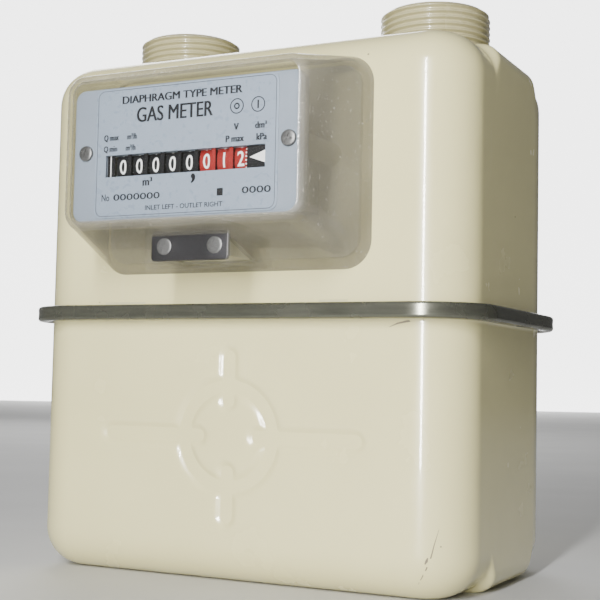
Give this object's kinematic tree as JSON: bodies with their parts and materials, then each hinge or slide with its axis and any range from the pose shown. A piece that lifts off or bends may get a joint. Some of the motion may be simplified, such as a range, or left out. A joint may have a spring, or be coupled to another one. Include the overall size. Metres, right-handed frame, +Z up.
{
  "type": "gas meter",
  "caption": "Domestic diaphragm gas meter: two-shell steel case, threaded inlet and outlet on top, and a number-wheel counter under a clear cover.",
  "frame": {"origin": "centre of the case's bottom face", "axes": "+X to the right seen from the front, +Y to the back, +Z up along the spigots"},
  "size_m": [0.188, 0.1587, 0.214],
  "materials": {
    "case_paint": "glossy cream enamel",
    "belt_steel": "dull rolled steel",
    "spigot_paint": "cream enamel over thread",
    "rubber": "matte",
    "clear_cover": "clear",
    "base_plastic": "satin",
    "dial_white": "satin white",
    "screw_steel": "zinc plated",
    "seal_metal": "dull dark metal",
    "frame_steel": "satin",
    "wheel_black": "satin black",
    "wheel_red": "satin red",
    "acetal": "natural",
    "brass": "turned",
    "shaft_steel": "ground",
    "unit_plastic": "moulded",
    "diaphragm_skin": "coated fabric",
    "valve_black": "lapped phenolic"
  },
  "bodies": {
    "meter": {"upper_case": "case_paint", "lower_case": "case_paint", "seam_belt": "belt_steel", "seam_gasket": "rubber", "inlet_spigot": "spigot_paint", "outlet_spigot": "spigot_paint", "counter_base": "base_plastic", "counter_cover": "clear_cover", "dial_plate": "dial_white", "dial_screws": "screw_steel", "seal_plate": "seal_metal", "seal_screws": "screw_steel", "wheel_cradle": "frame_steel", "wheel_axle": "shaft_steel", "pinion_axle": "shaft_steel", "gland_bush": "brass", "gland_seal": "rubber", "crank_bridge": "frame_steel", "bridge_screws": "screw_steel", "unit_body": "unit_plastic", "front_chamber_cover": "unit_plastic", "rear_chamber_cover": "unit_plastic", "front_diaphragm": "diaphragm_skin", "rear_diaphragm": "diaphragm_skin", "valve_grid": "valve_black", "outlet_duct": "unit_plastic", "duct_gasket": "rubber", "unit_feet": "rubber"},
    "index_drive": {"index_shaft": "shaft_steel", "index_pinion": "acetal", "index_crown_gear": "acetal"},
    "crank": {"crank": "shaft_steel", "crank_pinion": "acetal"},
    "wheel_1": {"number_wheel_1": "wheel_red"},
    "wheel_2": {"number_wheel_2": "wheel_red"},
    "wheel_3": {"number_wheel_3": "wheel_red"},
    "wheel_4": {"number_wheel_4": "wheel_black"},
    "wheel_5": {"number_wheel_5": "wheel_black"},
    "wheel_6": {"number_wheel_6": "wheel_black"},
    "wheel_7": {"number_wheel_7": "wheel_black"},
    "wheel_8": {"number_wheel_8": "wheel_black"},
    "carry_1": {"transfer_pinion_1": "acetal"},
    "carry_2": {"transfer_pinion_2": "acetal"},
    "carry_3": {"transfer_pinion_3": "acetal"},
    "carry_4": {"transfer_pinion_4": "acetal"},
    "carry_5": {"transfer_pinion_5": "acetal"},
    "carry_6": {"transfer_pinion_6": "acetal"},
    "carry_7": {"transfer_pinion_7": "acetal"},
    "front_flag": {"front_flag": "shaft_steel", "front_arm": "shaft_steel"},
    "front_link": {"front_link": "shaft_steel"},
    "front_disc": {"front_disc": "shaft_steel"},
    "front_valve": {"front_valve": "acetal"},
    "rear_flag": {"rear_flag": "shaft_steel", "rear_arm": "shaft_steel"},
    "rear_link": {"rear_link": "shaft_steel"},
    "rear_disc": {"rear_disc": "shaft_steel"},
    "rear_valve": {"rear_valve": "acetal"}
  },
  "joints": [
    {"name": "crank_turn", "type": "hinge", "parent": "meter", "child": "crank", "pos_m": [0.03035, -0.03, 0.128], "axis": [0, 0, 1], "continuous": true},
    {"name": "index_shaft_turn", "type": "hinge", "parent": "meter", "child": "index_drive", "pos_m": [0.03035, -0.05, 0.1455], "axis": [0, 1, 0], "continuous": true},
    {"name": "wheel_1_turn", "type": "hinge", "parent": "meter", "child": "wheel_1", "pos_m": [0.0214, -0.079, 0.1455], "axis": [1, 0, 0], "continuous": true},
    {"name": "wheel_2_turn", "type": "hinge", "parent": "meter", "child": "wheel_2", "pos_m": [0.01465, -0.079, 0.1455], "axis": [1, 0, 0], "continuous": true},
    {"name": "wheel_3_turn", "type": "hinge", "parent": "meter", "child": "wheel_3", "pos_m": [0.0079, -0.079, 0.1455], "axis": [1, 0, 0], "continuous": true},
    {"name": "wheel_4_turn", "type": "hinge", "parent": "meter", "child": "wheel_4", "pos_m": [0.00115, -0.079, 0.1455], "axis": [1, 0, 0], "continuous": true},
    {"name": "wheel_5_turn", "type": "hinge", "parent": "meter", "child": "wheel_5", "pos_m": [-0.0056, -0.079, 0.1455], "axis": [1, 0, 0], "continuous": true},
    {"name": "wheel_6_turn", "type": "hinge", "parent": "meter", "child": "wheel_6", "pos_m": [-0.01235, -0.079, 0.1455], "axis": [1, 0, 0], "continuous": true},
    {"name": "wheel_7_turn", "type": "hinge", "parent": "meter", "child": "wheel_7", "pos_m": [-0.0191, -0.079, 0.1455], "axis": [1, 0, 0], "continuous": true},
    {"name": "wheel_8_turn", "type": "hinge", "parent": "meter", "child": "wheel_8", "pos_m": [-0.02585, -0.079, 0.1455], "axis": [1, 0, 0], "continuous": true},
    {"name": "carry_1_turn", "type": "hinge", "parent": "meter", "child": "carry_1", "pos_m": [0.018, -0.079, 0.13395], "axis": [1, 0, 0], "continuous": true},
    {"name": "carry_2_turn", "type": "hinge", "parent": "meter", "child": "carry_2", "pos_m": [0.01125, -0.079, 0.13395], "axis": [1, 0, 0], "continuous": true},
    {"name": "carry_3_turn", "type": "hinge", "parent": "meter", "child": "carry_3", "pos_m": [0.0045, -0.079, 0.13395], "axis": [1, 0, 0], "continuous": true},
    {"name": "carry_4_turn", "type": "hinge", "parent": "meter", "child": "carry_4", "pos_m": [-0.00225, -0.079, 0.13395], "axis": [1, 0, 0], "continuous": true},
    {"name": "carry_5_turn", "type": "hinge", "parent": "meter", "child": "carry_5", "pos_m": [-0.009, -0.079, 0.13395], "axis": [1, 0, 0], "continuous": true},
    {"name": "carry_6_turn", "type": "hinge", "parent": "meter", "child": "carry_6", "pos_m": [-0.01575, -0.079, 0.13395], "axis": [1, 0, 0], "continuous": true},
    {"name": "carry_7_turn", "type": "hinge", "parent": "meter", "child": "carry_7", "pos_m": [-0.0225, -0.079, 0.13395], "axis": [1, 0, 0], "continuous": true},
    {"name": "front_flag_swing", "type": "hinge", "parent": "meter", "child": "front_flag", "pos_m": [-0.056, -0.0193, 0.06], "axis": [0, 0, 1], "range_deg": [0, 32.14]},
    {"name": "rear_flag_swing", "type": "hinge", "parent": "meter", "child": "rear_flag", "pos_m": [0.056, 0.0193, 0.06], "axis": [0, 0, 1], "range_deg": [-16.07, 16.07]},
    {"name": "front_disc_slide", "type": "slide", "parent": "meter", "child": "front_disc", "axis": [0, 1, 0], "range_m": [0, 0.0311], "deforming": ["front_diaphragm"]},
    {"name": "rear_disc_slide", "type": "slide", "parent": "meter", "child": "rear_disc", "axis": [0, 1, 0], "range_m": [-0.0156, 0.0156], "deforming": ["rear_diaphragm"]},
    {"name": "front_link_swing", "type": "hinge", "parent": "front_flag", "child": "front_link", "pos_m": [-0.05875, -0.04444, 0.124], "axis": [0, 0, 1], "range_deg": [-32.34, 0]},
    {"name": "rear_link_swing", "type": "hinge", "parent": "rear_flag", "child": "rear_link", "pos_m": [0.03071, 0.01948, 0.122], "axis": [0, 0, 1], "range_deg": [-16.27, 16.27]},
    {"name": "front_valve_slide", "type": "slide", "parent": "meter", "child": "front_valve", "axis": [0, 1, 0], "range_m": [-0.00401, 0.00401]},
    {"name": "rear_valve_slide", "type": "slide", "parent": "meter", "child": "rear_valve", "axis": [0, 1, 0], "range_m": [0, 0.00801]}
  ],
  "couplings": [
    {"joint": "index_shaft_turn", "follows": "crank_turn", "ratio": -0.33333},
    {"joint": "wheel_1_turn", "follows": "crank_turn", "ratio": -0.12},
    {"joint": "wheel_2_turn", "follows": "crank_turn", "ratio": -0.012},
    {"joint": "wheel_3_turn", "follows": "crank_turn", "ratio": -0.0012},
    {"joint": "wheel_4_turn", "follows": "crank_turn", "ratio": -0.00012},
    {"joint": "wheel_5_turn", "follows": "crank_turn", "ratio": -0.000012},
    {"joint": "wheel_6_turn", "follows": "crank_turn", "ratio": -0.0000012},
    {"joint": "wheel_7_turn", "follows": "crank_turn", "ratio": -0.00000012},
    {"joint": "wheel_8_turn", "follows": "crank_turn", "ratio": -0.000000012},
    {"joint": "carry_1_turn", "follows": "crank_turn", "ratio": 0.03},
    {"joint": "carry_2_turn", "follows": "crank_turn", "ratio": 0.003},
    {"joint": "carry_3_turn", "follows": "crank_turn", "ratio": 0.0003},
    {"joint": "carry_4_turn", "follows": "crank_turn", "ratio": 0.00003},
    {"joint": "carry_5_turn", "follows": "crank_turn", "ratio": 0.000003},
    {"joint": "carry_6_turn", "follows": "crank_turn", "ratio": 0.0000003},
    {"joint": "carry_7_turn", "follows": "crank_turn", "ratio": 0.00000003},
    {"joint": "front_disc_slide", "follows": "front_flag_swing", "m_per_rad": 0.055269},
    {"joint": "rear_disc_slide", "follows": "rear_flag_swing", "m_per_rad": -0.055269},
    {"joint": "front_link_swing", "follows": "front_flag_swing", "ratio": -1},
    {"joint": "rear_link_swing", "follows": "rear_flag_swing", "ratio": -1},
    {"joint": "front_valve_slide", "follows": "rear_flag_swing", "m_per_rad": 0.014263},
    {"joint": "rear_valve_slide", "follows": "front_flag_swing", "m_per_rad": 0.014263}
  ]
}
